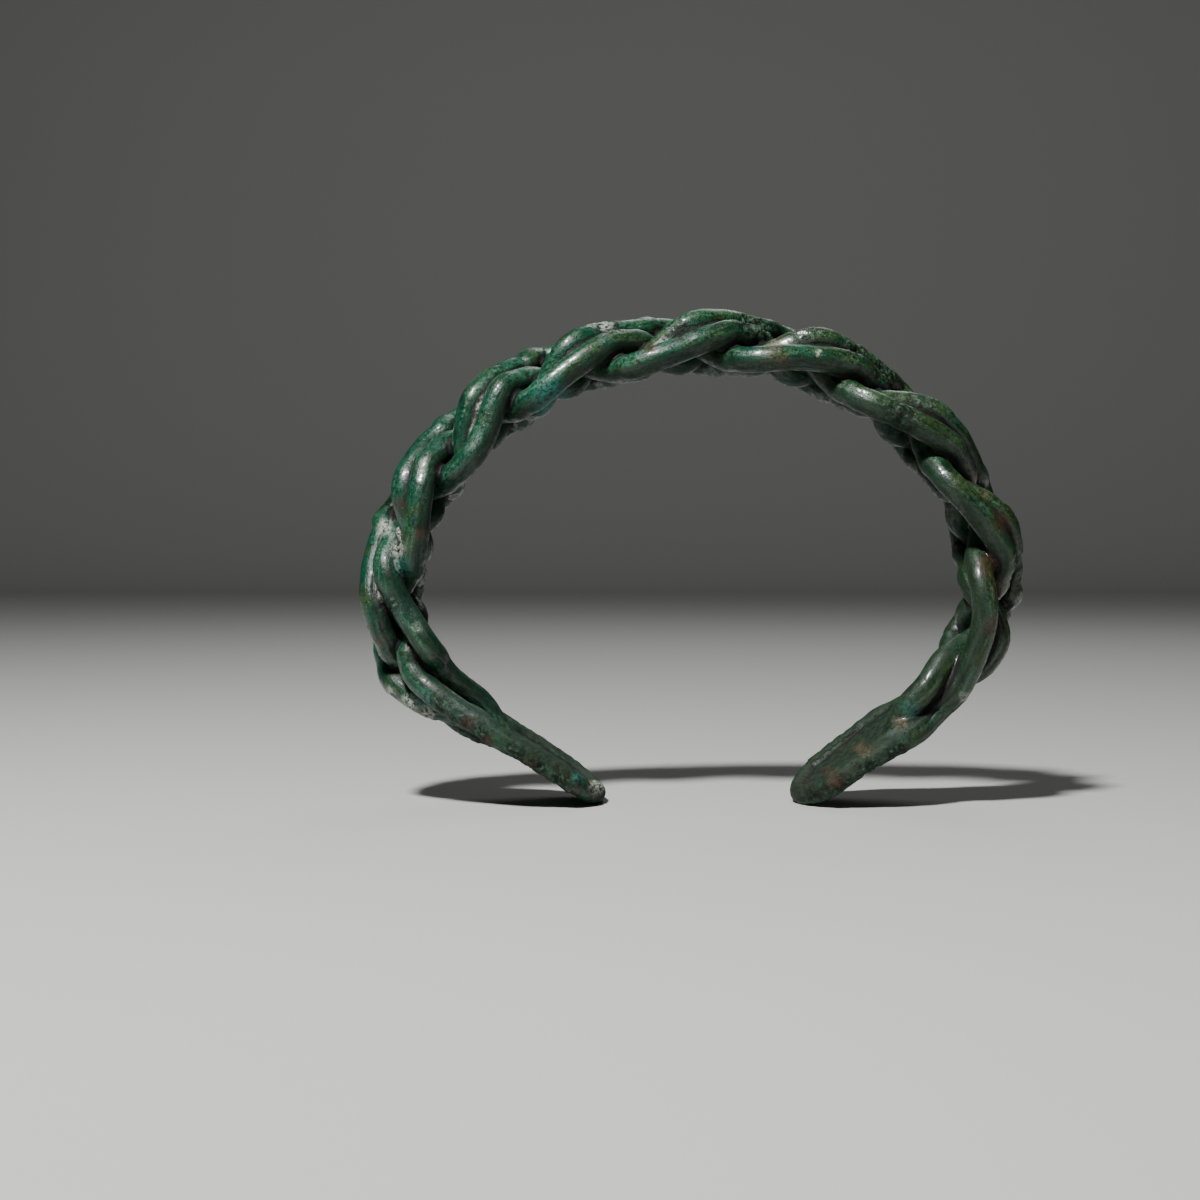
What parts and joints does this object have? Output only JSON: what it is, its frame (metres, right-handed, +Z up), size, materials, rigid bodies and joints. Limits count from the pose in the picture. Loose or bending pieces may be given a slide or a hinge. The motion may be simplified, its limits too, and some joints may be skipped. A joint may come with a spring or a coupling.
{
  "type": "plaited penannular bracelet",
  "caption": "Open bronze bracelet plaited from three doubled round wires, with a flat oval terminal at each end and a gap between them to pass over the wrist.",
  "frame": {"origin": "on the floor under the middle of the bracelet's box, between the two worn tips that it stands on", "axes": "+Z up toward the crown of the hoop; +X across the hoop, along its longest extent, toward the right terminal as seen in the picture; -Y toward the viewer, along the width of the band"},
  "size_m": [0.0738, 0.0164, 0.0546],
  "materials": {
    "patinated_bronze": "dark to mid green corroded bronze, semi-gloss on the rubbed crests, dull and earthy in the grooves"
  },
  "bodies": {
    "root": {"plaited_bracelet": "patinated_bronze"}
  },
  "joints": []
}
